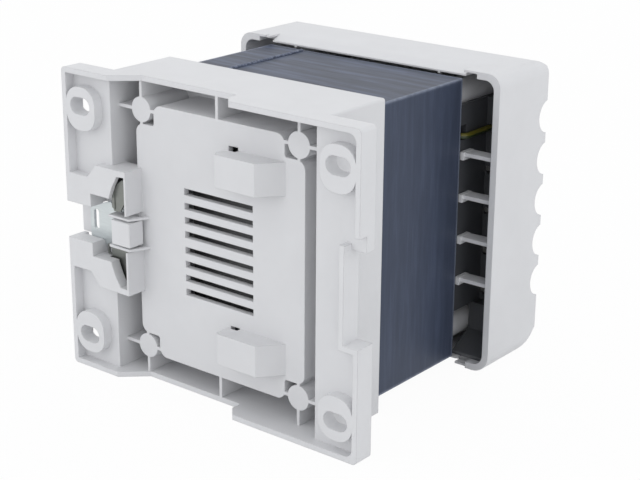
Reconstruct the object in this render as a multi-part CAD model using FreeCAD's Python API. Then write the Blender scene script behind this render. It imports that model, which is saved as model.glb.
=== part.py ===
import FreeCAD, Part
import os
import math

os.makedirs("parts", exist_ok=True)

# The origin is the middle of the mounting plane. X runs across the rail, Y leads away from
# the mounting plane to the terminal cover, Z is up and follows the length of the rail.

# mounting foot
foot_half_width = 60.0
foot_half_height = 51.0
flange_depth = 7.1
flange_floor_y = 3.4
flange_rim = 1.8
flange_corner_r = 2.6
box_half_width = 44.0
box_front_y = 32.4
box_corner_r = 3.0
side_wall = 2.3
end_wall = 1.8
cavity_half_width = box_half_width - side_wall
cavity_half_height = foot_half_height - end_wall

# middle panel of the foot, where the rail lies
panel_y = 7.3
panel_wall = 2.0
panel_half_width = 34.4
panel_half_height = 42.3
panel_notch_x = 26.6
panel_notch_z = 35.4
moat_floor_y = 25.0
moat_floor_wall = 2.0
rib_wall = 1.1

# bosses of the foot stand in line with the holes of the core
hole_half_x = 32.0
hole_half_z = 40.0
boss_r = 4.1

# vent slots in the middle panel, two groups of four
vent_half_length = 14.1
vent_height = 2.2
vent_pitch = 4.68
vent_group_gap = 0.55

# slotted holes for screws in the wall
slot_x = 51.8
slot_z = 39.1
slot_r = 2.8
slot_travel = 3.2
pad_x = 51.6
pad_z = 38.2
pad_r = 7.1

# notch in the right flange
notch_depth = 5.5
notch_half_height = 14.3
notch_rim_top = 19.3

# top-hat rail, 35 mm wide
rail_width = 35.0
rail_edge_wall = 1.0
rail_right_x = 8.2
rail_gap_y = panel_y - rail_edge_wall - 0.4
groove_left_x = -31.3
groove_left_ramp = 8.0
groove_right_ramp = 3.2
groove_right_ramp_y = 3.6

# fixed hooks
hook_tip_x = 4.7
hook_top_x = 21.1
hook_foot_x = 27.4
hook_z0 = 23.6
hook_z1 = 33.9
hook_lead = 1.3

# guide blocks for the rail latch
guide_x = -32.7
guide_step_x = -46.0
guide_step_in_x = -50.5
guide_z_tall = 20.8
guide_z_low = 16.2
channel_half = 6.2
pocket_x0 = -49.5
pocket_x1 = -42.0
pocket_z = 10.0
wedge_x0 = -39.4
wedge_x1 = -34.0
wedge_z = 18.6
wedge_tip_x = -37.0
ledge_half = 4.6
lip_y0 = 3.2
lip_y1 = 5.2
lip_half = 4.95
lip_length = 7.0

# rail latch
slide_y0 = 5.6
slide_wall = 1.0
slide_half = 5.6
latch_play = 0.35
slide_bed_y = slide_y0 + slide_wall + latch_play
tab_x = -55.2
tab_window_x0 = -54.0
tab_window_x1 = -51.9
tab_window_half = 3.2
nose_x0 = -39.9
nose_x1 = -31.6
nose_y0 = 0.6
nose_half = 4.3
nose_lip = 2.4
spring_wall = 0.6
spring_y0 = 1.8
spring_knee_x = -38.5
spring_knee_z = 8.4
spring_tip_x = -35.9
spring_low_x = -43.4
spring_tip_r = 0.65

# laminated core, 96 mm type
core_half_z = 48.0
core_half_x = 40.0
core_leg = 16.0
core_back_y = box_front_y + 0.1
core_front_y = 79.5
core_joint_x = -25.0
core_hole_r = 2.75
weld_r = 0.7

# coil
bobbin_wall = 1.2
bobbin_gap = 0.4
bobbin_half_x = 23.4
primary_build = 5.2
insulation_build = 0.5
secondary_build = 5.0
wrap_build = 0.6

# terminal cover
cover_half_x = 54.0
cover_half_z = 50.1
cover_back_y = 80.2
cover_front_y = 110.2
cover_wall = 2.0
cover_front_wall = 2.4
cover_corner_r = 6.0
cover_edge_r = 1.6
cover_relief = 3.6
cover_relief_half = 40.2
cover_notch = 1.4
cover_notch_end = 46.0
pillar_r = 5.4
pillar_seat_y = 98.0
rib_x = 39.4
rib_start = 1.6
rib_depth = 3.6
rib_drop = 2.1
rib_half = 0.45
rib_turn = 1.3
rib_turn_height = 2.2

# terminals, five on each side
terminal_count = 5
terminal_pitch = 14.4
terminal_mid_z = 3.3
entry_r = 5.6
entry_x = 46.6
entry_wall = 2.0
entry_back_y = 101.6
wire_hole_r = 1.8
wire_hole_depth = 3.7
screw_access_r = 3.2
carrier_gap = 0.2
carrier_x0 = 33.4
carrier_step_x = rib_x - carrier_gap
carrier_x1 = 51.6
carrier_back_y = core_front_y + 0.6
carrier_outer_y = 96.4
carrier_top_y = cover_front_y - cover_front_wall - 0.3
carrier_margin = 1.2
cell_x0 = 36.2
cell_half = 5.1
cell_back_y = 97.4
clamp_half = 4.7
clamp_x0 = 37.0
clamp_x1 = 44.2
clamp_x = (clamp_x0 + clamp_x1) / 2
clamp_wall = 0.9
clamp_back_y = cell_back_y + carrier_gap
clamp_front_y = carrier_top_y - 0.4
bar_wall = 1.2
bar_y = clamp_back_y + clamp_wall + 2.2
terminal_screw_r = 1.75
terminal_head_r = 2.9
terminal_head_height = 1.9

# leads inside the cover
lead_r = 1.0
lead_bend = 2.5
lead_play = 0.3
earth_bend = 2.6
earth_drop = 3.7
earth_y = core_front_y + 1.9
earth_x = carrier_step_x + 0.1 + lead_r
lug_half = 1.35

# long screws through cover and core into the foot
screw_r = 2.0
screw_tip_y = 13.0
head_r = 3.7
head_height = 2.6
washer_r = 4.2
washer_wall = 0.8
pillar_bore_r = 2.3
head_bore_r = 4.4
lug_wall = 0.8


def box(x0, x1, y0, y1, z0, z1):
    return Part.makeBox(x1 - x0, y1 - y0, z1 - z0, FreeCAD.Vector(x0, y0, z0))


def side_box(side, x0, x1, y0, y1, z0, z1):
    """Box given for the right side, mirrored to the left for side -1."""
    ends = sorted((side * x0, side * x1))
    return box(ends[0], ends[1], y0, y1, z0, z1)


def end_box(end, x0, x1, y0, y1, z0, z1):
    """Box given for the upper end, mirrored to the lower one for end -1."""
    ends = sorted((end * z0, end * z1))
    return box(x0, x1, y0, y1, ends[0], ends[1])


def rod_y(x, z, r, y0, y1):
    return Part.makeCylinder(r, y1 - y0, FreeCAD.Vector(x, y0, z), FreeCAD.Vector(0, 1, 0))


def rod_x(y, z, r, x0, x1):
    return Part.makeCylinder(r, x1 - x0, FreeCAD.Vector(x0, y, z), FreeCAD.Vector(1, 0, 0))


def plate_xz(points, y0, y1):
    """Outline in X and Z, made solid along Y."""
    pts = [FreeCAD.Vector(x, y0, z) for x, z in points]
    face = Part.Face(Part.makePolygon(pts + pts[:1]))
    return face.extrude(FreeCAD.Vector(0, y1 - y0, 0))


def plate_xy(points, z0, z1):
    """Outline in X and Y, made solid along Z."""
    pts = [FreeCAD.Vector(x, y, z0) for x, y in points]
    face = Part.Face(Part.makePolygon(pts + pts[:1]))
    return face.extrude(FreeCAD.Vector(0, 0, z1 - z0))


def round_along_y(solid, radius, x_limit, z_limit):
    """Rounds the edges that run along Y and lie at or beyond both limits."""
    picked = []
    for edge in solid.Edges:
        a = edge.Vertexes[0].Point
        b = edge.Vertexes[-1].Point
        straight = abs(a.x - b.x) < 1e-6 and abs(a.z - b.z) < 1e-6
        if straight and abs(a.x) > x_limit and abs(a.z) > z_limit:
            picked.append(edge)
    return solid.makeFillet(radius, picked)


def flip_z(solid):
    return solid.mirror(FreeCAD.Vector(0, 0, 0), FreeCAD.Vector(0, 0, 1))


def flip_x(solid):
    return solid.mirror(FreeCAD.Vector(0, 0, 0), FreeCAD.Vector(1, 0, 0))


def corners():
    return [(sx * hole_half_x, sz * hole_half_z) for sx in (-1, 1) for sz in (-1, 1)]


def terminal_levels():
    first = terminal_mid_z - terminal_pitch * (terminal_count - 1) / 2
    return [first + i * terminal_pitch for i in range(terminal_count)]


def fused(shapes):
    return shapes[0].multiFuse(shapes[1:]).removeSplitter()


def foot_shell():
    """Flange tray and box as one thin-walled tub, open to the core."""
    flange = box(-foot_half_width, foot_half_width, 0, flange_depth, -foot_half_height, foot_half_height)
    flange = round_along_y(flange, flange_corner_r, 0, 0)
    tub = box(-box_half_width, box_half_width, 0, box_front_y, -foot_half_height, foot_half_height)
    tub = round_along_y(tub, box_corner_r, 0, 0)
    shell = flange.fuse(tub)
    tray_x = foot_half_width - flange_rim
    tray = box(-tray_x, tray_x, -1, flange_floor_y, -cavity_half_height, cavity_half_height)
    tray = round_along_y(tray, flange_corner_r - flange_rim / 2, 0, 0)
    cavity = box(-cavity_half_width, cavity_half_width, -1, box_front_y + 1,
                 -cavity_half_height, cavity_half_height)
    return shell.cut(tray).cut(cavity)


def panel_outline(inset):
    """Panel with its four corners cut back square round the bosses."""
    w = panel_half_width - inset
    h = panel_half_height - inset
    nx = panel_notch_x - inset
    nz = panel_notch_z - inset
    return [(-w, -nz), (-nx, -nz), (-nx, -h), (nx, -h), (nx, -nz), (w, -nz),
            (w, nz), (nx, nz), (nx, h), (-nx, h), (-nx, nz), (-w, nz)]


def panel_can():
    """Middle panel with its skirt down to the floor of the surrounding moat."""
    body = plate_xz(panel_outline(0), panel_y, moat_floor_y + moat_floor_wall)
    body = round_along_y(body, 1.6, panel_notch_x - 0.1, panel_notch_z - 0.1)
    hollow = plate_xz(panel_outline(panel_wall), panel_y + panel_wall, moat_floor_y + moat_floor_wall + 1)
    floor_plate = box(-cavity_half_width, cavity_half_width, moat_floor_y, moat_floor_y + moat_floor_wall,
                      -cavity_half_height, cavity_half_height)
    return body.fuse(floor_plate).cut(hollow)


def foot_ribs():
    """Boss columns with the ribs that tie them to walls and panel."""
    floor_y = moat_floor_y + 0.5
    half = rib_wall / 2
    parts = []
    for x, z in corners():
        sx = math.copysign(1, x)
        sz = math.copysign(1, z)
        parts.append(rod_y(x, z, boss_r, panel_y, core_back_y))
        parts.append(end_box(sz, x - half, x + half, panel_y, floor_y,
                             panel_notch_z - 0.5, cavity_half_height + 0.2))
        parts.append(side_box(sx, panel_notch_x - 0.5, cavity_half_width + 0.2, panel_y, floor_y,
                              z - half, z + half))
    for sz in (-1, 1):
        parts.append(end_box(sz, -half, half, panel_y, floor_y,
                             panel_half_height - 0.5, cavity_half_height + 0.2))
    return parts


def vent_levels():
    half = (vent_pitch + vent_group_gap) / 2
    up = [half + i * vent_pitch for i in range(4)]
    return [-z for z in reversed(up)] + up


def hook():
    """Fixed hook for the right edge of the rail, upper one of the pair."""
    outline = [(hook_tip_x, 0.8), (hook_tip_x + 0.8, 0), (hook_top_x, 0), (hook_foot_x, panel_y + 0.5),
               (rail_right_x + 0.3, panel_y + 0.5), (rail_right_x + 0.3, rail_gap_y),
               (hook_tip_x + hook_lead, rail_gap_y), (hook_tip_x, rail_gap_y - hook_lead)]
    return plate_xy(outline, hook_z0, hook_z1)


def guide_block():
    """Upper guide block of the rail latch, from the outer rim to the panel."""
    outline = [(-foot_half_width + 0.3, channel_half), (-foot_half_width + 0.3, guide_z_low),
               (guide_step_in_x, guide_z_low), (guide_step_x, guide_z_tall),
               (guide_x, guide_z_tall), (guide_x, channel_half)]
    return plate_xz(outline, 0, panel_y + panel_wall)


def spring_rooms():
    """Pocket and wedge-shaped opening of the upper guide block, in which the spring arm lies."""
    pocket = plate_xz([(pocket_x0, channel_half - 1), (pocket_x0, pocket_z),
                       (pocket_x1, pocket_z), (pocket_x1, channel_half - 1)], -1, slide_bed_y)
    wedge = plate_xz([(pocket_x1 - 0.1, channel_half - 1), (pocket_x1 - 0.1, pocket_z - 1.2),
                      (wedge_x0, pocket_z - 0.6), (wedge_tip_x, wedge_z), (wedge_x1, wedge_z),
                      (wedge_x1, channel_half + 1.4), (wedge_x1 - 2.2, channel_half - 1)], -1, panel_y + 6)
    return pocket.fuse(wedge)


def latch_opening():
    """Room for the slide right through the flange, the moat and the edge of the panel."""
    inner_x = -foot_half_width + flange_rim
    channel = box(inner_x, guide_x, -1, slide_bed_y, -channel_half, channel_half)
    gate = box(-foot_half_width - 1, inner_x, -1, slide_y0 - latch_play, -channel_half, channel_half)
    window = box(inner_x, pocket_x1, 0, box_front_y, -ledge_half, ledge_half)
    window = window.cut(box(-cavity_half_width - side_wall / 2, pocket_x1 + 1, panel_y, box_front_y,
                            -ledge_half, ledge_half))
    return channel.fuse(gate).fuse(window)


def latch_bed():
    """Bed and ledge under the slide and lip over its side, between the guide blocks."""
    left_x = -cavity_half_width - 0.5
    right_x = -panel_half_width + 0.5
    back_y = panel_y + panel_wall
    bed = box(left_x, right_x, slide_bed_y, back_y, -guide_z_tall, guide_z_tall)
    ledge = box(-foot_half_width + flange_rim / 2, left_x + 0.2, slide_bed_y, back_y,
                ledge_half, channel_half + 0.2)
    lip = box(guide_x - lip_length, guide_x, lip_y0, lip_y1, lip_half, channel_half + 0.2)
    return bed, ledge, lip


def slotted_hole(x, z):
    hole = rod_y(x - slot_travel / 2, z, slot_r, -1, flange_depth + 1)
    hole = hole.fuse(rod_y(x + slot_travel / 2, z, slot_r, -1, flange_depth + 1))
    return hole.fuse(box(x - slot_travel / 2, x + slot_travel / 2, -1, flange_depth + 1, z - slot_r, z + slot_r))


def rail_groove():
    """Opening in both end walls through which the rail passes."""
    outline = [(groove_left_x - groove_left_ramp - 1.1, -1), (groove_left_x, panel_y),
               (rail_right_x, panel_y), (rail_right_x, groove_right_ramp_y),
               (rail_right_x + groove_right_ramp, 0), (rail_right_x + groove_right_ramp, -1)]
    reach = foot_half_height + 1
    upper = plate_xy(outline, cavity_half_height - 0.5, reach)
    return upper.fuse(flip_z(upper))


def mounting_foot():
    foot = foot_shell()
    foot = foot.fuse(panel_can())
    bed, ledge, lip = latch_bed()
    block = guide_block()
    rooms = spring_rooms()
    right_rim = box(foot_half_width - notch_depth - flange_rim, foot_half_width, 0, flange_depth,
                    -notch_half_height - flange_rim, notch_half_height + flange_rim)
    pads = [rod_y(sx * pad_x, sz * pad_z, pad_r, 0, flange_depth - 1) for sx in (-1, 1) for sz in (-1, 1)]
    blocks = [hook(), flip_z(hook()), block, flip_z(block), bed, ledge, flip_z(ledge), right_rim]
    foot = foot.multiFuse(foot_ribs() + pads + blocks)
    foot = foot.cut(latch_opening()).cut(rooms).cut(flip_z(rooms))
    foot = foot.fuse(lip).fuse(flip_z(lip))
    for sx in (-1, 1):
        for sz in (-1, 1):
            foot = foot.cut(slotted_hole(sx * slot_x, sz * slot_z))
    foot = foot.cut(box(foot_half_width - notch_depth, foot_half_width + 1, -1, flange_depth + 1,
                        -notch_half_height, notch_half_height))
    foot = foot.cut(box(foot_half_width - notch_depth + 0.1, foot_half_width + 1, -1, flange_floor_y,
                        notch_half_height, notch_rim_top))
    foot = foot.cut(rail_groove())
    for z in vent_levels():
        foot = foot.cut(box(-vent_half_length, vent_half_length, panel_y - 1, panel_y + panel_wall + 1,
                            z - vent_height / 2, z + vent_height / 2))
    relief = box(hook_tip_x, rail_right_x + 0.3, rail_gap_y + 0.2, panel_y + panel_wall + 1, hook_z0 - 0.2, hook_z1 + 1)
    foot = foot.cut(relief).cut(flip_z(relief))
    for x, z in corners():
        foot = foot.cut(rod_y(x, z, screw_r + 0.05, screw_tip_y - 1, core_back_y + 1))
    return foot.removeSplitter()


def latch_slide():
    """Sheet steel slide with the pull tab and its upright window."""
    y1 = slide_y0 + slide_wall
    plate = box(tab_x, nose_x1 - nose_lip, slide_y0, y1, -slide_half, slide_half)
    plate = round_along_y(plate, 0.8, abs(nose_x0), 0)
    window = box(tab_window_x0, tab_window_x1, slide_y0 - 1, y1 + 1, -tab_window_half, tab_window_half)
    slide = plate.cut(round_along_y(window, 0.9, 0, 0))
    neck = box(nose_x0 + 1.6, nose_x1 - nose_lip + 1, slide_y0 - 1, y1 + 1, -slide_half - 1, -nose_half)
    return slide.cut(neck).cut(flip_z(neck))


def latch_nose():
    """Block on the inner end of the slide that reaches over the edge of the rail."""
    root_x = nose_x1 - nose_lip
    outline = [(nose_x0, slide_y0), (nose_x0, nose_y0 + 0.5), (nose_x0 + 0.5, nose_y0), (nose_x1 - 0.5, nose_y0),
               (nose_x1, nose_y0 + 0.5), (nose_x1, rail_gap_y), (root_x, rail_gap_y), (root_x, slide_y0)]
    return plate_xy(outline, -nose_half, nose_half)


def latch_springs():
    """Two bent leaf arms, one in each wedge opening."""
    def leaf(x0, z0, x1, z1):
        length = math.hypot(x1 - x0, z1 - z0)
        nx = -(z1 - z0) / length * spring_wall / 2
        nz = (x1 - x0) / length * spring_wall / 2
        return [(x0 + nx, z0 + nz), (x1 + nx, z1 + nz), (x1 - nx, z1 - nz), (x0 - nx, z0 - nz)]
    low = (spring_low_x, slide_half + spring_wall / 2 + latch_play)
    knee = (spring_knee_x, spring_knee_z)
    top = (spring_tip_x, wedge_z - spring_tip_r - latch_play)
    arm = plate_xz(leaf(low[0], low[1], knee[0], knee[1]), spring_y0, slide_y0)
    arm = arm.fuse(rod_y(low[0], low[1], spring_wall / 2, spring_y0, slide_y0))
    arm = arm.fuse(rod_y(knee[0], knee[1], spring_wall / 2, spring_y0, slide_y0))
    arm = arm.fuse(plate_xz(leaf(knee[0], knee[1], top[0], top[1]), spring_y0, slide_y0))
    arm = arm.fuse(rod_y(top[0], top[1], spring_tip_r, spring_y0, slide_y0)).removeSplitter()
    return Part.makeCompound([arm, flip_z(arm)])


def core_e():
    z = core_half_z
    stack = box(core_joint_x, core_half_x, core_back_y, core_front_y, -z, z)
    yoke_x = core_half_x - core_leg
    for sz in (-1, 1):
        stack = stack.cut(end_box(sz, core_joint_x - 1, yoke_x, core_back_y - 1, core_front_y + 1,
                                  core_leg, z - core_leg))
        stack = stack.cut(rod_y(hole_half_x, sz * hole_half_z, core_hole_r, core_back_y - 1, core_front_y + 1))
    return stack


def core_i():
    stack = box(-core_half_x, core_joint_x, core_back_y, core_front_y, -core_half_z, core_half_z)
    for sz in (-1, 1):
        stack = stack.cut(rod_y(-hole_half_x, sz * hole_half_z, core_hole_r, core_back_y - 1, core_front_y + 1))
    return stack


def core_welds():
    beads = []
    for sz in (-1, 1):
        bead = rod_y(core_joint_x, sz * core_half_z, weld_r, core_back_y + 1.5, core_front_y - 1.5)
        beads.append(bead.cut(end_box(sz, -core_half_x, core_half_x, 0, cover_front_y, 0, core_half_z)))
    return Part.makeCompound(beads)


def coil_ring(inner_z, inner_y, build, half_x):
    """Rectangular ring round the middle leg, with its winding build on every side."""
    y0 = core_back_y - inner_y
    y1 = core_front_y + inner_y
    outer = box(-half_x, half_x, y0 - build, y1 + build, -inner_z - build, inner_z + build)
    rounded = []
    for edge in outer.Edges:
        a = edge.Vertexes[0].Point
        b = edge.Vertexes[-1].Point
        if abs(a.y - b.y) < 1e-6 and abs(a.z - b.z) < 1e-6:
            rounded.append(edge)
    outer = outer.makeFillet(min(build, 4.0) * 0.9, rounded)
    return outer.cut(box(-half_x - 1, half_x + 1, y0, y1, -inner_z, inner_z))


def bobbin():
    inner_z = core_leg + bobbin_gap
    tube = box(-bobbin_half_x, bobbin_half_x, core_back_y - bobbin_gap - bobbin_wall,
               core_front_y + bobbin_gap + bobbin_wall, -inner_z - bobbin_wall, inner_z + bobbin_wall)
    reach = primary_build + insulation_build + secondary_build + bobbin_wall + 1.2
    flange = box(0, bobbin_wall, core_back_y - bobbin_gap - reach, core_front_y + bobbin_gap + reach,
                 -inner_z - reach, inner_z + reach)
    left = flange.copy()
    left.translate(FreeCAD.Vector(-bobbin_half_x, 0, 0))
    right = flange.copy()
    right.translate(FreeCAD.Vector(bobbin_half_x - bobbin_wall, 0, 0))
    body = tube.fuse(left).fuse(right)
    hollow = box(-bobbin_half_x - 1, bobbin_half_x + 1, core_back_y - bobbin_gap, core_front_y + bobbin_gap,
                 -inner_z, inner_z)
    return body.cut(hollow).removeSplitter()


def winding(start, build):
    half = bobbin_half_x - bobbin_wall - 0.3
    inner = bobbin_gap + bobbin_wall + start
    return coil_ring(core_leg + inner, inner, build, half)


def cover_block():
    """Solid outside of the cover with its rounded corners."""
    block = box(-cover_half_x, cover_half_x, cover_back_y, cover_front_y, -cover_half_z, cover_half_z)
    block = round_along_y(block, cover_corner_r, 0, 0)
    rim = [edge for edge in block.Edges if all(abs(v.Point.y - cover_front_y) < 1e-6 for v in edge.Vertexes)]
    return block.makeFillet(cover_edge_r, rim)


def cover_ribs(side):
    """Partitions between the terminals, with their inner ends turned down."""
    parts = []
    y0 = cover_back_y + rib_start
    y1 = y0 + rib_depth
    levels = terminal_levels()
    for low, high in zip(levels, levels[1:]):
        top = (low + high) / 2 - rib_drop + rib_half
        parts.append(side_box(side, rib_x, cover_half_x - cover_wall / 2, y0, y1, top - 2 * rib_half, top))
        parts.append(side_box(side, rib_x, rib_x + rib_turn, y0, y1, top - rib_turn_height, top))
    return parts


def terminal_cover():
    cover = cover_block()
    inner = box(-cover_half_x + cover_wall, cover_half_x - cover_wall, cover_back_y - 1,
                cover_front_y - cover_front_wall, -cover_half_z + cover_wall, cover_half_z - cover_wall)
    cover = cover.cut(round_along_y(inner, cover_corner_r - cover_wall, 0, 0))
    levels = terminal_levels()
    low = levels[0] - entry_r - carrier_margin - carrier_gap
    high = levels[-1] + entry_r + carrier_margin + carrier_gap
    additions = []
    for side in (-1, 1):
        additions.append(side_box(side, entry_x - entry_wall, cover_half_x - cover_wall / 2, entry_back_y,
                                  cover_front_y - cover_front_wall / 2, low, high))
        additions.extend(cover_ribs(side))
    for x, z in corners():
        seat = core_front_y + lug_wall if x > 0 and z > 0 else core_front_y
        additions.append(rod_y(x, z, pillar_r, seat, cover_front_y - cover_front_wall / 2))
    cover = cover.multiFuse(additions)
    for x, z in corners():
        cover = cover.cut(rod_y(x, z, pillar_bore_r, core_front_y - 1, cover_front_y + 1))
        cover = cover.cut(rod_y(x, z, head_bore_r, pillar_seat_y, cover_front_y + 1))
    for side in (-1, 1):
        for z in levels:
            ends = sorted((side * entry_x, side * (cover_half_x + 1)))
            cover = cover.cut(rod_x(cover_front_y, z, entry_r, ends[0], ends[1]))
            ends = sorted((side * (entry_x - entry_wall - 1), side * (entry_x + 1)))
            cover = cover.cut(rod_x(cover_front_y - wire_hole_depth, z, wire_hole_r, ends[0], ends[1]))
            cover = cover.cut(rod_y(side * clamp_x, z, screw_access_r, entry_back_y, cover_front_y + 1))
    back = cover_back_y - 1
    low = cover_half_z - cover_wall - 0.5
    high = cover_half_z + 1
    for end in (-1, 1):
        cover = cover.cut(end_box(end, -cover_relief_half, cover_relief_half, back,
                                  cover_back_y + cover_relief, low, high))
        for x0, x1 in ((-cover_notch_end, -cover_relief_half), (cover_relief_half, cover_notch_end)):
            cover = cover.cut(end_box(end, x0, x1, back, cover_back_y + cover_relief + cover_notch, low, high))
    return cover.removeSplitter()


def terminal_carrier(side):
    """Dark carrier beside the coil with one cell for the clamp of each terminal."""
    levels = terminal_levels()
    low = levels[0] - entry_r - carrier_margin
    high = levels[-1] + entry_r + carrier_margin
    body = box(carrier_x0, carrier_step_x, carrier_back_y, carrier_top_y, low, high)
    body = body.fuse(box(carrier_x0, carrier_x1, carrier_outer_y, entry_back_y - carrier_gap, low, high))
    body = body.fuse(box(carrier_x0, entry_x - entry_wall - carrier_gap, carrier_outer_y, carrier_top_y,
                         low, high))
    for end in (-1, 1):
        body = body.cut(rod_y(hole_half_x, end * hole_half_z, pillar_r + 0.4, carrier_back_y - 1, cover_front_y))
    for z in levels:
        body = body.cut(box(cell_x0, entry_x, cell_back_y, cover_front_y, z - cell_half, z + cell_half))
        body = body.cut(rod_x(bar_y + bar_wall / 2, z, lead_r + lead_play, carrier_x0 - 1, cell_x0 + 1))
        body = body.cut(rod_y(earth_x, z - earth_drop, lead_r + lead_play, carrier_outer_y - 1, cell_back_y + 1))
    lead_z = levels[-1] - earth_drop
    body = body.cut(box(carrier_x0 - 1, carrier_step_x + 1, carrier_back_y - 1, earth_y + earth_bend + lead_play,
                        lead_z - lead_r - lead_play, lead_z + earth_bend + lead_r))
    body = body.removeSplitter()
    return body if side > 0 else flip_x(body)


def terminal_clamps(side):
    """Steel cages that the screws draw up against the wire."""
    y0 = clamp_back_y
    y1 = clamp_front_y
    cages = []
    for z in terminal_levels():
        cage = box(clamp_x0, clamp_x1, y0, y1, z - clamp_half, z + clamp_half)
        cage = cage.cut(box(clamp_x0 - 1, clamp_x1 + 1, y0 + clamp_wall, y1 - clamp_wall,
                            z - clamp_half + clamp_wall, z + clamp_half - clamp_wall))
        cage = cage.cut(rod_y(clamp_x, z, terminal_screw_r + 0.05, y1 - clamp_wall - 1, y1 + 1))
        cages.append(cage if side > 0 else flip_x(cage))
    return Part.makeCompound(cages)


def terminal_bars(side):
    """Tinned bars inside the cages, on which the leads of the coil end."""
    bars = []
    reach = clamp_half - clamp_wall - lead_play
    for z in terminal_levels():
        bar = box(cell_x0 + carrier_gap, clamp_x1 + 0.3, bar_y, bar_y + bar_wall, z - reach, z + reach)
        bars.append(bar if side > 0 else flip_x(bar))
    return Part.makeCompound(bars)


def terminal_screws(side):
    """Pan head screws of the terminals, with a cross recess."""
    head_y = clamp_front_y + 0.1
    top_y = head_y + terminal_head_height
    tip_y = bar_y + bar_wall + 1.0
    screws = []
    for z in terminal_levels():
        screw = rod_y(clamp_x, z, terminal_screw_r, tip_y, head_y + 0.1)
        screw = screw.fuse(rod_y(clamp_x, z, terminal_head_r, head_y, top_y))
        screw = screw.cut(box(clamp_x - 2.0, clamp_x + 2.0, top_y - 0.9, top_y + 1, z - 0.4, z + 0.4))
        screw = screw.cut(box(clamp_x - 0.4, clamp_x + 0.4, top_y - 0.9, top_y + 1, z - 2.0, z + 2.0))
        screws.append(screw if side > 0 else flip_x(screw))
    return Part.makeCompound(screws)


def long_screws():
    screws = []
    under_head = pillar_seat_y + washer_wall
    for x, z in corners():
        screw = rod_y(x, z, screw_r, screw_tip_y, under_head + 0.1)
        screw = screw.fuse(rod_y(x, z, head_r, under_head, under_head + head_height))
        for turn in (0, 90):
            slot = box(-2.2, 2.2, under_head + 1.1, under_head + head_height + 1, -0.45, 0.45)
            slot.rotate(FreeCAD.Vector(0, 0, 0), FreeCAD.Vector(0, 1, 0), turn)
            slot.translate(FreeCAD.Vector(x, 0, z))
            screw = screw.cut(slot)
        screws.append(screw)
    return Part.makeCompound(screws)


def washers():
    rings = []
    for x, z in corners():
        ring = rod_y(x, z, washer_r, pillar_seat_y, pillar_seat_y + washer_wall)
        rings.append(ring.cut(rod_y(x, z, screw_r + 0.15, pillar_seat_y - 1, pillar_seat_y + 2)))
    return Part.makeCompound(rings)


def earth_lug():
    """Ring lug clamped between the core and the pillar of the cover, with its crimp."""
    y1 = core_front_y + lug_wall
    x = hole_half_x
    ring = rod_y(x, hole_half_z, pillar_r - 0.2, core_front_y, y1)
    neck = box(x - lug_half, x + lug_half, core_front_y, y1, hole_half_z - 8.0, hole_half_z - 2.0)
    crimp = box(x - lug_half, x + lug_half, core_front_y + 0.2, earth_y + lug_half,
                hole_half_z - 8.6, hole_half_z - 6.0)
    lug = ring.fuse(neck).fuse(crimp)
    lug = lug.cut(rod_y(x, hole_half_z, screw_r + 0.15, core_front_y - 1, y1 + 1))
    socket = Part.makeCylinder(lead_r + 0.05, 4.0, FreeCAD.Vector(x, earth_y, hole_half_z - 9.6))
    return lug.cut(socket).removeSplitter()


def lead(points, bend):
    """Round lead along straight runs that are joined by arcs of one bend radius."""
    pts = [FreeCAD.Vector(*p) for p in points]
    edges = []
    start = pts[0]
    for before, corner, after in zip(pts, pts[1:], pts[2:]):
        inward = (before - corner).normalize()
        outward = (after - corner).normalize()
        half = inward.getAngle(outward) / 2
        a = corner + inward * (bend / math.tan(half))
        b = corner + outward * (bend / math.tan(half))
        middle = corner + (inward + outward).normalize() * (bend / math.sin(half) - bend)
        edges.append(Part.LineSegment(start, a).toShape())
        edges.append(Part.Arc(a, middle, b).toShape())
        start = b
    edges.append(Part.LineSegment(start, pts[-1]).toShape())
    ring = Part.Wire(Part.makeCircle(lead_r, pts[0], pts[1] - pts[0]))
    return Part.Wire(edges).makePipeShell([ring], True, False)


def earth_lead():
    """From the crimp of the lug across the back of the carrier, then forward along its side."""
    z = terminal_levels()[-1] - earth_drop
    return lead([(hole_half_x, earth_y, hole_half_z - 6.0), (hole_half_x, earth_y, z), (earth_x, earth_y, z),
                 (earth_x, cell_back_y + 0.1, z)], earth_bend)


def coil_leads(side, picked):
    """Leads from the front of the coil to the bars of the terminals."""
    coil_y = core_front_y + bobbin_gap + bobbin_wall + primary_build + insulation_build + secondary_build + wrap_build
    out_x = side * (bobbin_half_x - 4.0)
    near_x = side * (carrier_x0 - 4.9)
    bar_mid_y = bar_y + bar_wall / 2
    levels = terminal_levels()
    leads = []
    for i in picked:
        z = levels[i]
        z0 = z * 0.72
        leads.append(lead([(out_x, coil_y + 0.05, z0), (out_x, coil_y + 4.1, z0), (near_x, bar_mid_y, z),
                           (side * (cell_x0 + carrier_gap / 2), bar_mid_y, z)], lead_bend))
    return Part.makeCompound(leads)


def save(name, shape):
    if shape.ShapeType == "Compound" and len(shape.Solids) == 1:
        shape = shape.Solids[0]
    print(name, len(shape.Solids), "solids", shape.isValid(), round(shape.Volume, 1))
    shape.exportStep("parts/" + name + ".step")


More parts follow.
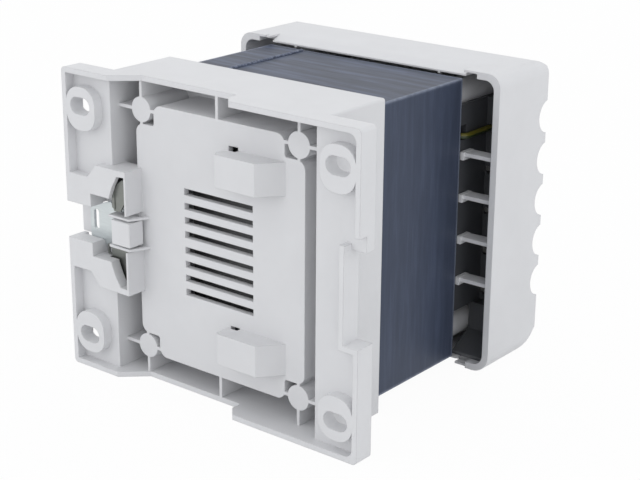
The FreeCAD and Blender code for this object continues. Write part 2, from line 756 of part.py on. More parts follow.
save("mounting_foot", mounting_foot())
save("latch_slide", latch_slide())
save("latch_nose", latch_nose())
save("latch_springs", latch_springs())
save("core_e_stack", core_e())
save("core_i_stack", core_i())
save("core_weld_beads", core_welds())
save("bobbin", bobbin())
save("primary_winding", winding(0, primary_build))
save("winding_insulation", winding(primary_build, insulation_build))
save("secondary_winding", winding(primary_build + insulation_build, secondary_build))
save("winding_wrap", winding(primary_build + insulation_build + secondary_build, wrap_build))
save("terminal_cover", terminal_cover())
save("terminal_carrier_right", terminal_carrier(1))
save("terminal_carrier_left", terminal_carrier(-1))
save("terminal_clamps_right", terminal_clamps(1))
save("terminal_clamps_left", terminal_clamps(-1))
save("terminal_bars_right", terminal_bars(1))
save("terminal_bars_left", terminal_bars(-1))
save("terminal_screws_right", terminal_screws(1))
save("terminal_screws_left", terminal_screws(-1))
save("long_screws", long_screws())
save("screw_washers", washers())
save("earth_lug", earth_lug())
save("earth_lead", earth_lead())
save("primary_leads", coil_leads(1, (0, 1, 3)))
save("secondary_leads", coil_leads(-1, (0, 2, 3, 4)))
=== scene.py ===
import math

import bmesh
import bpy
from mathutils import Matrix, Vector


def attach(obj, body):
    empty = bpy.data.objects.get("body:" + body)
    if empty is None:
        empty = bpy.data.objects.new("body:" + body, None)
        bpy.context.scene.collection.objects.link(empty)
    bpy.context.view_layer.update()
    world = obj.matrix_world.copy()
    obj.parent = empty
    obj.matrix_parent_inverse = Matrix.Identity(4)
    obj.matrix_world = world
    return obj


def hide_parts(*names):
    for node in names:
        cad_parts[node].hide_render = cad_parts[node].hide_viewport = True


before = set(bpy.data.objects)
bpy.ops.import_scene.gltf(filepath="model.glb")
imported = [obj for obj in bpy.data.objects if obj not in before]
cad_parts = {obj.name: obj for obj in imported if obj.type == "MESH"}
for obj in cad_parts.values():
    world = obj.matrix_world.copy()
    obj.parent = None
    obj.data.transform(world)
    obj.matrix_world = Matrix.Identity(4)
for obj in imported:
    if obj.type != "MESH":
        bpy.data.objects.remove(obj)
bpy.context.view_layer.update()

MM = 0.001

# camera, at the viewing angle of the photograph
CAMERA_MM = (301.2, -320.1, 158.7)
CAMERA_AZIMUTH = 38.58
CAMERA_ELEVATION = 19.2
CAMERA_ROLL = 0.45
FOCAL_PX = 1525.4
IMAGE_WIDTH_PX = 640
SENSOR_MM = 36.0

# colours, linear
GREY_PLASTIC = (0.69, 0.69, 0.705)
CORE_LACQUER = (0.05, 0.062, 0.097)
# pale lacquer painted along the core's edges and on the weld's crests: a painted highlight
LACQUER_HIGHLIGHT = (0.26, 0.29, 0.37)
BLACK_PLASTIC = (0.012, 0.012, 0.013)
CARRIER_PLASTIC = (0.07, 0.073, 0.08)
WRAP_TAPE = (0.2, 0.2, 0.205)
BOBBIN_PLASTIC = (0.42, 0.42, 0.43)
ZINC = (0.65, 0.695, 0.705)
SPRING = (0.24, 0.25, 0.235)
STEEL = (0.50, 0.50, 0.49)
TIN = (0.62, 0.62, 0.60)
COPPER = (0.50, 0.20, 0.09)
FILM = (0.72, 0.55, 0.20)
# earth lead's green and yellow, both darkened as painted shade of the cover over the lead
SHADED_EARTH_GREEN = (0.025, 0.04, 0.01)
SHADED_EARTH_YELLOW = (0.13, 0.115, 0.012)
EARTH_LEVEL_MM = 28.6

# light: the world's share and the power of the lamps in watts
WORLD_LIGHT = 0.96
OVERHEAD_WATTS = 0.5
LEFT_WATTS = 1.6
RIGHT_WATTS = 0.9

# floor: its height and size in m, its grey in the light, and how much of it the camera sees as white
FLOOR_Z = -0.051
FLOOR_SIZE = 8
FLOOR_GREY = 0.82
FLOOR_WHITE = 0.96


def make_camera():
    """Camera where the photograph was taken from, with its small roll."""
    az = math.radians(CAMERA_AZIMUTH)
    el = math.radians(CAMERA_ELEVATION)
    roll = math.radians(CAMERA_ROLL)
    forward = Vector((-math.sin(az) * math.cos(el), math.cos(az) * math.cos(el), -math.sin(el)))
    level = Vector((math.cos(az), math.sin(az), 0))
    up = level.cross(forward)
    right = level * math.cos(roll) + up * math.sin(roll)
    up = right.cross(forward)
    data = bpy.data.cameras.new("photo_camera")
    data.sensor_width = SENSOR_MM
    data.lens = FOCAL_PX * SENSOR_MM / IMAGE_WIDTH_PX
    data.clip_start = 0.01
    data.clip_end = 20
    cam = bpy.data.objects.new("photo_camera", data)
    bpy.context.scene.collection.objects.link(cam)
    turn = Matrix((right, up, -forward)).transposed().to_4x4()
    cam.matrix_world = Matrix.Translation(Vector(CAMERA_MM) * MM) @ turn
    bpy.context.scene.camera = cam


class Shader:
    """A material's node tree, with coordinates in millimetres of the row's frame."""

    def __init__(self, name):
        self.mat = bpy.data.materials.new(name)
        self.mat.use_nodes = True
        self.tree = self.mat.node_tree
        self.bsdf = self.tree.nodes["Principled BSDF"]
        coords = self.add("ShaderNodeTexCoord")
        self.mm = self.vector("SCALE", coords.outputs["Object"], 1 / MM)

    def add(self, kind, **values):
        node = self.tree.nodes.new(kind)
        for key, value in values.items():
            setattr(node, key, value)
        return node

    def link(self, a, b):
        self.tree.links.new(a, b)

    def vector(self, operation, source, factor):
        node = self.add("ShaderNodeVectorMath", operation=operation)
        self.link(source, node.inputs[0])
        if operation == "SCALE":
            node.inputs["Scale"].default_value = factor
        else:
            node.inputs[1].default_value = factor
        return node.outputs["Vector"]

    def math(self, operation, a, b=None, clamp=False):
        node = self.add("ShaderNodeMath", operation=operation, use_clamp=clamp)
        for socket, value in zip(node.inputs, (a, b)):
            if value is None:
                continue
            if isinstance(value, (int, float)):
                socket.default_value = value
            else:
                self.link(value, socket)
        return node.outputs["Value"]

    def axis(self, name):
        node = self.add("ShaderNodeSeparateXYZ")
        self.link(self.mm, node.inputs[0])
        return node.outputs[name]

    def noise(self, scale, detail=2.0, rough=0.5, stretch=None):
        node = self.add("ShaderNodeTexNoise")
        source = self.mm if stretch is None else self.vector("MULTIPLY", self.mm, stretch)
        self.link(source, node.inputs["Vector"])
        node.inputs["Scale"].default_value = scale
        node.inputs["Detail"].default_value = detail
        node.inputs["Roughness"].default_value = rough
        return node.outputs["Fac"]

    def ramp(self, source, *stops):
        node = self.add("ShaderNodeValToRGB")
        self.link(source, node.inputs["Fac"])
        ramp = node.color_ramp
        while len(ramp.elements) < len(stops):
            ramp.elements.new(0.5)
        for element, (place, colour) in zip(ramp.elements, stops):
            element.position = place
            element.color = (*colour, 1)
        return node.outputs["Color"]

    def mix(self, factor, a, b):
        node = self.add("ShaderNodeMix", data_type="RGBA")
        for socket, value in ((node.inputs["Factor"], factor), (node.inputs[6], a), (node.inputs[7], b)):
            if isinstance(value, (int, float)):
                socket.default_value = value
            elif isinstance(value, tuple):
                socket.default_value = (*value, 1)
            else:
                self.link(value, socket)
        return node.outputs[2]

    def colour(self, source):
        self.link(source, self.bsdf.inputs["Base Color"])

    def soft_edges(self, radius_mm):
        node = self.add("ShaderNodeBevel", samples=6)
        node.inputs["Radius"].default_value = radius_mm * MM
        return node.outputs["Normal"]

    def edge_mask(self, radius_mm, gain):
        """White along convex and concave edges, where the rounded normal leaves the true one."""
        bent = self.soft_edges(radius_mm)
        node = self.add("ShaderNodeVectorMath", operation="DOT_PRODUCT")
        self.link(bent, node.inputs[0])
        self.link(self.add("ShaderNodeNewGeometry").outputs["Normal"], node.inputs[1])
        return self.math("MULTIPLY", self.math("SUBTRACT", 1.0, node.outputs["Value"]), gain, clamp=True)

    def upward(self, least):
        """1 on level faces, and this least value on upright ones."""
        node = self.add("ShaderNodeSeparateXYZ")
        self.link(self.add("ShaderNodeNewGeometry").outputs["Normal"], node.inputs[0])
        return self.math("MAXIMUM", node.outputs["Z"], least)

    def bump(self, height, depth_mm, normal=None, strength=1.0):
        node = self.add("ShaderNodeBump")
        node.inputs["Strength"].default_value = strength
        node.inputs["Distance"].default_value = depth_mm * MM
        self.link(height, node.inputs["Height"])
        if normal is not None:
            self.link(normal, node.inputs["Normal"])
        return node.outputs["Normal"]

    def finish(self, rough, metal=0.0, specular=0.5, coat=0.0, coat_rough=0.2):
        self.bsdf.inputs["Roughness"].default_value = rough
        self.bsdf.inputs["Metallic"].default_value = metal
        self.bsdf.inputs["Specular IOR Level"].default_value = specular
        self.bsdf.inputs["Coat Weight"].default_value = coat
        self.bsdf.inputs["Coat Roughness"].default_value = coat_rough
        return self.mat


def shade(colour, factor):
    """The same hue, darker or lighter."""
    return tuple(min(1.0, v * factor) for v in colour)


def moulded_plastic(name, colour, rough, edge_mm, grain_mm=0.012):
    """Spark-eroded moulding: cloudy tint, fine grain and soft edges."""
    s = Shader(name)
    cloud = s.noise(0.06, 3.0, 0.6)
    s.colour(s.ramp(cloud, (0.3, shade(colour, 0.975)), (0.7, shade(colour, 1.015))))
    grain = s.noise(2.6, 3.0, 0.6)
    normal = s.bump(grain, grain_mm, s.soft_edges(edge_mm), 0.6)
    s.link(normal, s.bsdf.inputs["Normal"])
    return s.finish(rough, specular=0.42)


def core_lacquer():
    """Stack of lacquered sheets: wavy lines along the sheets, shown in full on level faces as painted light
    on the top, and a painted highlight along the edges.
    """
    s = Shader("core_lacquer")
    sheets = s.noise(1.0, 4.0, 0.65, stretch=(0.035, 0.42, 0.035))
    lacquer = s.noise(0.09, 3.0, 0.6)
    dark, light = shade(CORE_LACQUER, 0.55), shade(CORE_LACQUER, 1.8)
    tint = s.ramp(sheets, (0.34, dark), (0.5, CORE_LACQUER), (0.66, light))
    # the sheet lines are real, but they show in full only on level faces, so the top is painted lighter:
    # partly painted light
    tint = s.mix(s.upward(0.3), CORE_LACQUER, tint)
    pooled = s.mix(s.math("MULTIPLY", lacquer, 0.35), tint, shade(CORE_LACQUER, 0.8))
    # painted highlight: the edges take the pale lacquer colour, most where the sheet lines are light
    edge = s.math("MULTIPLY", s.edge_mask(1.6, 9.0), s.math("MULTIPLY", sheets, 1.8), clamp=True)
    s.colour(s.mix(edge, pooled, LACQUER_HIGHLIGHT))
    height = s.math("ADD", sheets, s.math("MULTIPLY", lacquer, 0.5))
    s.link(s.bump(height, 0.07, s.soft_edges(0.5), 0.5), s.bsdf.inputs["Normal"])
    s.bsdf.inputs["Specular Tint"].default_value = (0.66, 0.77, 1, 1)
    return s.finish(0.42, specular=0.27)


def weld_lacquer():
    """Lacquered weld seam: lumps across the seam, painted lighter on their crests as a painted highlight
    and darker in the hollows as painted shade.
    """
    s = Shader("weld_lacquer")
    lumps = s.noise(0.8, 3.0, 0.7)
    dark, light = shade(CORE_LACQUER, 0.5), shade(CORE_LACQUER, 1.8)
    # colour follows the lumps' height: painted highlight on the crests, painted shade in the hollows
    s.colour(s.ramp(lumps, (0.3, dark), (0.48, light), (0.75, LACQUER_HIGHLIGHT)))
    s.link(s.bump(lumps, 0.3, s.soft_edges(0.5), 0.8), s.bsdf.inputs["Normal"])
    return s.finish(0.45, specular=0.3)


def metal(name, colour, rough, streak=(1.0, 1.0, 1.0), edge_mm=0.12):
    """Plated or plain metal with faint streaks along the axis whose streak factor is smallest."""
    s = Shader(name)
    lines = s.noise(1.2, 4.0, 0.65, stretch=streak)
    s.colour(s.ramp(lines, (0.25, shade(colour, 0.93)), (0.75, shade(colour, 1.04))))
    s.link(s.bump(lines, 0.01, s.soft_edges(edge_mm), 0.4), s.bsdf.inputs["Normal"])
    return s.finish(rough, metal=0.85)


def wound_wire(name, colour, pitch_mm):
    """Turns of enamelled wire that lie side by side along X, darker in the grooves between them as painted
    shade.
    """
    s = Shader(name)
    turns = s.math("ABSOLUTE", s.math("SINE", s.math("MULTIPLY", s.axis("X"), math.pi / pitch_mm)))
    # painted shade in the grooves between the turns
    s.colour(s.mix(turns, shade(colour, 0.35), colour))
    s.link(s.bump(turns, pitch_mm / 2), s.bsdf.inputs["Normal"])
    return s.finish(0.35, metal=0.6, coat=0.5)


def wrapped_tape(name, colour, width_mm):
    """Layers of tape with their overlapping edges."""
    s = Shader(name)
    lap = s.math("FRACT", s.math("MULTIPLY", s.axis("X"), 1 / width_mm))
    cloud = s.noise(0.2, 2.0)
    s.colour(s.mix(s.math("MULTIPLY", cloud, 0.5), shade(colour, 0.8), shade(colour, 1.3)))
    s.link(s.bump(lap, 0.1, s.soft_edges(0.3)), s.bsdf.inputs["Normal"])
    return s.finish(0.45)


def lead_jacket(name, colour, stripe=None, level_mm=0.0):
    """Smooth jacket of a lead; an earth lead has one half of its round in the second colour."""
    s = Shader(name)
    cloud = s.noise(0.5, 2.0)
    base = s.ramp(cloud, (0.3, shade(colour, 0.9)), (0.7, shade(colour, 1.1)))
    if stripe is not None:
        over = s.math("GREATER_THAN", s.axis("Z"), level_mm)
        base = s.mix(over, base, stripe)
    s.colour(base)
    s.link(s.bump(cloud, 0.02), s.bsdf.inputs["Normal"])
    return s.finish(0.4)


def solid(bm, name="form"):
    mesh = bpy.data.meshes.new(name)
    bm.to_mesh(mesh)
    bm.free()
    obj = bpy.data.objects.new(name, mesh)
    bpy.context.scene.collection.objects.link(obj)
    return obj


# from outline coordinates u, v and the place w along an axis to x, y, z
PLACE = {"x": lambda u, v, w: (w, u, v), "y": lambda u, v, w: (u, w, v), "z": lambda u, v, w: (u, v, w)}


def loft(rings, along="y"):
    """Solid through outlines of as many points each: (outline, place along the axis), in mm."""
    bm = bmesh.new()
    loops = [[bm.verts.new(PLACE[along](u, v, w)) for u, v in outline] for outline, w in rings]
    bm.faces.new(loops[0])
    bm.faces.new(loops[-1])
    for low, high in zip(loops, loops[1:]):
        for i, vert in enumerate(low):
            bm.faces.new((low[i - 1], vert, high[i], high[i - 1]))
    bmesh.ops.recalc_face_normals(bm, faces=bm.faces)
    return solid(bm)


def prism(outline, along, low, high):
    """Outline in the two other axes, in mm, made solid along one axis."""
    return loft([(outline, low), (outline, high)], along)


def rounded(corners, steps=7):
    """Outline whose corners (u, v, radius) are eased with arcs."""
    points = []
    for i, (u, v, radius) in enumerate(corners):
        here = Vector((u, v))
        if not radius:
            points.append((u, v))
            continue
        a = (Vector(corners[i - 1][:2]) - here).normalized()
        b = (Vector(corners[(i + 1) % len(corners)][:2]) - here).normalized()
        half = a.angle(b) / 2
        middle = here + (a + b).normalized() * (radius / math.sin(half))
        start = here + a * (radius / math.tan(half)) - middle
        end = here + b * (radius / math.tan(half)) - middle
        for k in range(steps + 1):
            points.append(tuple(middle + start.lerp(end, k / steps).normalized() * radius))
    return points


def block(x0, x1, y0, y1, z0, z1, r=0.0):
    """Box whose edges along Y are eased: one radius, or four from the lower left corner round."""
    r = r if isinstance(r, tuple) else (r,) * 4
    return prism(rounded([(x0, z0, r[0]), (x1, z0, r[1]), (x1, z1, r[2]), (x0, z1, r[3])]), "y", y0, y1)


def circle(u, v, r, steps=40):
    turn = 2 * math.pi / steps
    return [(u + r * math.cos(turn * i), v + r * math.sin(turn * i)) for i in range(steps)]


def rod_y(x, z, r, y0, y1):
    return prism(circle(x, z, r), "y", y0, y1)


def mirrored(obj, axis):
    """Mirror image of a form across the plane through the origin that this axis is normal to."""
    mesh = obj.data.copy()
    for vert in mesh.vertices:
        vert.co[axis] = -vert.co[axis]
    mesh.flip_normals()
    twin = bpy.data.objects.new("form", mesh)
    bpy.context.scene.collection.objects.link(twin)
    return twin


def both(obj, axis=2):
    """A form and its mirror image."""
    return [obj, mirrored(obj, axis)]


def combine(base, operation, others):
    """Boolean of one solid with several others, which it uses up."""
    group = bpy.data.collections.new("operands")
    bpy.context.scene.collection.children.link(group)
    for other in others:
        group.objects.link(other)
    step = base.modifiers.new("step", "BOOLEAN")
    step.operation = operation
    step.solver = "EXACT"
    step.operand_type = "COLLECTION"
    step.collection = group
    mesh = bpy.data.meshes.new_from_object(base.evaluated_get(bpy.context.evaluated_depsgraph_get()))
    base.modifiers.clear()
    base.data = mesh
    for other in others:
        bpy.data.objects.remove(other)
    bpy.data.collections.remove(group)
    return base


def fuse(base, *others):
    return combine(base, "UNION", others)


def cut(base, *others):
    return combine(base, "DIFFERENCE", others)


def finish_piece(obj, name, body, slot, material, *nodes):
    """Scales a form from mm to m, gives it its looks, hangs it on its body and hides the nodes it stands
    for.
    """
    obj.name = name
    obj.data.name = name
    obj.data.transform(Matrix.Scale(MM, 4))
    obj.data.polygons.foreach_set("use_smooth", [True] * len(obj.data.polygons))
    obj.data.set_sharp_from_angle(angle=math.radians(28))
    obj.data.materials.clear()
    obj.data.materials.append(material)
    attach(obj, body)
    if nodes:
        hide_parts(*nodes)


# how far, in mm, a cutting form reaches past a face, and a part into what carries it
PAST = 1.0
BITE = 0.2

# mounting foot, in mm
FOOT_X = 60.0
FOOT_Z = 51.0
FOOT_R = 1.4
RIM = 1.8
FLANGE_Y = 7.1
FLANGE_FLOOR_Y = 3.4
FLANGE_BACK_Y = 4.9
TRAY_R = 2.6
BOX_X = 44.0
BOX_Y = 32.4
BOX_R = 0.8
CAVITY_X = 41.7
CAVITY_Z = FOOT_Z - RIM
PANEL_X = 34.4
PANEL_Z = 42.3
PANEL_NOTCH_X = 26.6
PANEL_NOTCH_Z = 35.4
PANEL_Y = 7.3
PANEL_BACK_Y = 9.3
PANEL_WALL = 2.0
MOAT_Y = 25.0
MOAT_BACK_Y = 27.0
RIB = 1.1
RIB_BACK_Y = 25.5
HOLE_X = 32.0
HOLE_Z = 40.0
BOSS_R = 4.1
SLOT_X = 52.0
SLOT_Z = 39.1
SLOT_LENGTH = 8.8
SLOT_WIDTH = 5.6
PAD_PLACE_X = 51.8
PAD_PLACE_Z = 38.2
PAD_X = 6.5
PAD_Z = 7.15
PAD_R = 5.6
NOTCH_X = 54.5
NOTCH_Z = 14.3
NOTCH_STEP_Z = 19.3
VENT_X = 14.1
VENT_WIDTH = 2.2
VENT_PITCH = 4.68
VENT_FIRST_Z = 2.615
HOOK_LOW_Z = 23.6
HOOK_TOP_Z = 33.9

# rail latch and its two guide blocks, in mm
CHANNEL_Z = 6.2
CHANNEL_THROUGH_X = -47.0
BED_Y = 6.95
GUIDE_X = -32.7
GUIDE_STEP_X = -46.0
GUIDE_OUTER_X = 0.3 - FOOT_X
GUIDE_FACE_Y = 5.4
GUIDE_LOW_Z = 16.2
GUIDE_TALL_Z = 20.8
CHAMBER_X0 = -44.8
CHAMBER_X1 = -33.7
CHAMBER_TOP_Z = 19.4
UPPER_CHAMBER_Y = 1.6
LOWER_CHAMBER_Y = 3.6
UPPER_FIN = (4.3, 5.05)
LOWER_FIN = (-5.95, -5.05)
TAB_X = -55.2
SLIDE_Y = 5.6
SHEET = 1.0
SLIDE_END_X = -34.3
NECK_X = -38.4
NOSE_X0 = -40.0
NOSE_X1 = -31.75
NOSE_Y = 0.1
NOSE_EDGE = 0.3
NOSE_BACK_Y = 6.2
NOSE_LOW_Z = 4.2
NOSE_TOP_Z = 3.85
LEAF = 0.5
SPRING_X = -33.6


def panel_outline(inset, outer_r, notch_r):
    """Panel with its four corners cut back square round the bosses."""
    w, h = PANEL_X - inset, PANEL_Z - inset
    nx, nz = PANEL_NOTCH_X - inset, PANEL_NOTCH_Z - inset
    quarter = [(w, nz, outer_r), (nx, nz, notch_r), (nx, h, outer_r)]
    corners = quarter + [(-x, z, r) for x, z, r in reversed(quarter)]
    corners += [(-x, -z, r) for x, z, r in quarter] + [(x, -z, r) for x, z, r in reversed(quarter)]
    return rounded(corners)


def foot_shell():
    """Flange with its rim, open on both sides, and the box that holds the core."""
    flange = block(-FOOT_X, FOOT_X, 0, FLANGE_Y, -FOOT_Z, FOOT_Z, FOOT_R)
    side = FOOT_X - RIM
    cut(flange, block(-side, side, FLANGE_BACK_Y, FLANGE_Y + PAST, -CAVITY_Z, CAVITY_Z))
    fuse(flange, block(-BOX_X, BOX_X, 0, BOX_Y, -FOOT_Z, FOOT_Z, BOX_R))
    tray = block(-side, side, -PAST, FLANGE_FLOOR_Y, -CAVITY_Z, CAVITY_Z, (0, TRAY_R, TRAY_R, 0))
    return cut(flange, tray, block(-CAVITY_X, CAVITY_X, -PAST, BOX_Y + PAST, -CAVITY_Z, CAVITY_Z))


def panel_can():
    """Middle panel with its skirt down to the floor of the moat round it."""
    x, z = CAVITY_X + BITE, CAVITY_Z + BITE
    can = prism(panel_outline(0, 3.0, 0.8), "y", PANEL_Y, MOAT_BACK_Y)
    fuse(can, block(-x, x, MOAT_Y, MOAT_BACK_Y, -z, z))
    return cut(can, prism(panel_outline(PANEL_WALL, 1.0, 0), "y", PANEL_BACK_Y, MOAT_BACK_Y + PAST))


def foot_ribs():
    """Bosses for the long screws, and the ribs that join them and the panel to the walls."""
    half = RIB / 2
    wall_x, wall_z = CAVITY_X + BITE, CAVITY_Z + BITE
    parts = []
    for x in (-HOLE_X, HOLE_X):
        ends = sorted((math.copysign(PANEL_NOTCH_X - 0.5, x), math.copysign(wall_x, x)))
        for z in (-HOLE_Z, HOLE_Z):
            parts.append(rod_y(x, z, BOSS_R, PANEL_Y, BOX_Y))
            parts.append(block(*ends, PANEL_Y, RIB_BACK_Y, z - half, z + half))
        parts += both(block(x - half, x + half, PANEL_Y, RIB_BACK_Y, PANEL_NOTCH_Z - 0.5, wall_z))
    return parts + both(block(-half, half, PANEL_Y, RIB_BACK_Y, PANEL_Z - 0.5, wall_z))


def foot_pads():
    """Round-ended pads for the wall screws, and the stepped wall of the notch on the right."""
    parts = [block(NOTCH_X - RIM, FOOT_X, 0, FLANGE_Y, -NOTCH_Z - RIM, NOTCH_Z + RIM)]
    for x in (-PAD_PLACE_X, PAD_PLACE_X):
        for z in (-PAD_PLACE_Z, PAD_PLACE_Z):
            parts.append(block(x - PAD_X, x + PAD_X, 0, FLANGE_BACK_Y, z - PAD_Z, z + PAD_Z, PAD_R))
    return parts


def hook():
    """Fixed hook for the right edge of the rail, upper one of the pair."""
    outline = [(4.7, 0.8), (5.5, 0), (21.1, 0), (27.4, 7.8), (8.5, 7.8), (8.5, 5.9), (6.0, 5.9), (4.7, 4.6)]
    return prism(outline, "z", HOOK_LOW_Z, HOOK_TOP_Z)


def guide_block():
    """Upper guide block: a shallow outer part and a deep part at the panel."""
    outline = [(GUIDE_OUTER_X, CHANNEL_Z), (GUIDE_OUTER_X, GUIDE_LOW_Z), (-50.1, GUIDE_LOW_Z),
               (GUIDE_STEP_X, GUIDE_TALL_Z), (GUIDE_STEP_X, CHANNEL_Z)]
    guide = prism(outline, "y", 0, GUIDE_FACE_Y)
    return fuse(guide, block(GUIDE_STEP_X, GUIDE_X, 0, PANEL_BACK_Y, CHANNEL_Z, GUIDE_TALL_Z))


def latch_bed():
    """Floor behind the slide and the guide blocks, and the tubs of the two pockets."""
    floor = block(-42.2, -33.9, BED_Y, PANEL_BACK_Y, -GUIDE_TALL_Z, GUIDE_TALL_Z)
    strips = both(block(CHANNEL_THROUGH_X, -42.0, BED_Y, PANEL_BACK_Y, 4.6, CHANNEL_Z + BITE))
    tubs = both(block(-50.3, -44.0, 4.5, BED_Y + 1.4, CHANNEL_Z + 0.4, 12.0))
    return [floor] + strips + tubs


def spring_rooms():
    """Pocket and wedge-shaped opening of both guide blocks."""
    pocket = block(-48.9, -40.2, -PAST, BED_Y, 5.2, 10.7)
    outline = [(-40.3, 5.2), (-40.3, 11.4), (-38.8, 15.0), (-36.6, 18.7), (-33.5, 18.9), (-33.5, 5.2)]
    return both(pocket) + both(prism(outline, "y", -PAST, BED_Y))


def spring_chamber(low, high, y):
    """Hollow behind the face of a guide block, from this depth on."""
    return block(CHAMBER_X0, CHAMBER_X1, y, BED_Y, low, high)


def latch_rooms():
    """Channel of the slide, and everything that the guide blocks leave open for the springs."""
    outer = -FOOT_X - PAST
    channel = block(outer, GUIDE_X, -PAST, BED_Y, -CHANNEL_Z, CHANNEL_Z)
    through = block(outer, CHANNEL_THROUGH_X, -PAST, PANEL_BACK_Y, -CHANNEL_Z, CHANNEL_Z)
    near = CHANNEL_Z - BITE
    return [channel, through, spring_chamber(near, CHAMBER_TOP_Z, UPPER_CHAMBER_Y),
            spring_chamber(-CHAMBER_TOP_Z, -near, LOWER_CHAMBER_Y)] + spring_rooms()


def nose_fin(low, high):
    """Thin fin above or below the nose, held by the panel."""
    outline = [(-41.8, 0.9), (GUIDE_X, 0.9), (-29.6, 7.5), (-31.4, 7.5), (-31.4, 5.2), (-41.8, 5.2)]
    return prism(outline, "z", low, high)


def slotted_hole(x, z):
    half, end = SLOT_LENGTH / 2, SLOT_WIDTH / 2
    return block(x - half, x + half, -PAST, FLANGE_Y + PAST, z - end, z + end, end - 0.01)


def rail_groove():
    """Opening in the upper end wall through which the rail passes."""
    outline = [(-40.4, -PAST), (-31.3, PANEL_Y), (8.2, PANEL_Y), (8.2, 3.6), (11.4, 0), (11.4, -PAST)]
    return prism(outline, "z", CAVITY_Z - 0.5, FOOT_Z + PAST)


def vent_slots():
    """Four slots above the middle of the panel and four below it."""
    half = VENT_WIDTH / 2
    cuts = []
    for i in range(4):
        z = VENT_FIRST_Z + VENT_PITCH * i
        cuts += both(block(-VENT_X, VENT_X, PANEL_Y - PAST, PANEL_BACK_Y + PAST, z - half, z + half))
    return cuts


def foot_openings():
    """Screw slots, notch on the right, rail grooves, vent slots and the holes behind the hooks' tips."""
    cuts = [slotted_hole(sx * SLOT_X, sz * SLOT_Z) for sx in (-1, 1) for sz in (-1, 1)]
    outer = FOOT_X + PAST
    cuts.append(block(NOTCH_X, outer, -PAST, FLANGE_Y + PAST, -NOTCH_Z, NOTCH_Z))
    cuts.append(block(NOTCH_X + 0.1, outer, -PAST, FLANGE_FLOOR_Y, NOTCH_Z, NOTCH_STEP_Z))
    cuts += both(rail_groove()) + vent_slots()
    return cuts + both(block(4.7, 8.5, 6.1, PANEL_BACK_Y + PAST, HOOK_LOW_Z - 0.2, HOOK_TOP_Z + 1.0))


def mounting_foot():
    foot = fuse(foot_shell(), panel_can())
    fuse(foot, *foot_ribs(), *foot_pads(), *both(hook()), *both(guide_block()), *latch_bed())
    cut(foot, *latch_rooms())
    fuse(foot, nose_fin(*UPPER_FIN), nose_fin(*LOWER_FIN))
    return cut(foot, *foot_openings())


def latch_slide():
    """Sheet steel slide with its flared pull tab and upright window."""
    low, half = -6.45, 5.6
    outline = [(TAB_X, low, 0.6), (-49.8, low, 0), (-48.0, -8.4, 0.6), (-44.9, -8.4, 0.6),
               (-44.2, -half, 0), (SLIDE_END_X, -half, 0), (SLIDE_END_X, half, 0), (-44.6, half, 0),
               (-45.4, 7.3, 0.6), (-47.0, 7.0, 0), (TAB_X, 3.9, 0.8)]
    slide = prism(rounded(outline), "y", SLIDE_Y, SLIDE_Y + SHEET)
    depth = (SLIDE_Y - PAST, SLIDE_Y + SHEET + PAST)
    window = block(-53.6, -51.3, *depth, -3.5, 3.5, 1.1)
    below = block(NECK_X, SLIDE_END_X + PAST, *depth, -half - PAST, -NOSE_LOW_Z)
    above = block(NECK_X, SLIDE_END_X + PAST, *depth, NOSE_TOP_Z, half + PAST)
    return cut(slide, window, below, above)


def latch_nose():
    """Block on the inner end of the slide that reaches over the edge of the rail."""
    front = NOSE_Y + NOSE_EDGE
    outline = [(NOSE_X0, SLIDE_Y), (NOSE_X0, front), (NOSE_X0 + NOSE_EDGE, NOSE_Y),
               (NOSE_X1 - NOSE_EDGE, NOSE_Y), (NOSE_X1, front), (NOSE_X1, NOSE_BACK_Y),
               (SLIDE_END_X, NOSE_BACK_Y), (SLIDE_END_X, SLIDE_Y)]
    return prism(outline, "z", -NOSE_LOW_Z, NOSE_TOP_Z)


def latch_grip():
    """Moulded grip on the back of the pull tab that reaches past its outer end."""
    y = SLIDE_Y + SHEET
    return block(-FOOT_X, TAB_X + 0.3, y, y + 0.5, -5.7, 3.6, 0.4)


def latch_springs():
    """Bowed leaf and narrow strip in the upper opening, wide leaf with a bent end in the lower one."""
    bowed = [(SPRING_X, 17.0), (-36.0, 17.3), (-38.1, 15.7), (-39.6, 13.4), (-40.5, 10.5), (-40.5, 7.9),
             (-39.9, 6.3), (-37.2, 6.5), (-35.9, 8.5), (SPRING_X, 12.0)]
    strip = [(-40.5, 13.0), (-39.3, 13.0), (-39.3, 7.0), (-40.5, 7.6)]
    wide = [(SPRING_X, -6.4), (SPRING_X, -18.6), (-42.5, -18.6), (-44.4, -12.0), (-44.4, -6.4)]
    arm = block(-46.6, -40.0, 4.6, 4.6 + LEAF, -10.4, -9.8)
    end = block(-46.6, -45.9, 4.6, 4.6 + LEAF, -10.0, -7.0)
    return fuse(prism(bowed, "y", 1.7, 2.3), prism(strip, "y", 1.4, 1.4 + LEAF),
                prism(wide, "y", 4.3, 4.3 + LEAF), end, arm)


def painted_shade_seats():
    """Dark floors of the two hollows in the guide blocks: painted shade, dark plates where the hollows hold
    only shade.
    """
    return fuse(*both(block(CHAMBER_X0, CHAMBER_X1 - 0.1, 6.62, BED_Y, 6.4, CHAMBER_TOP_Z, 0.4)))


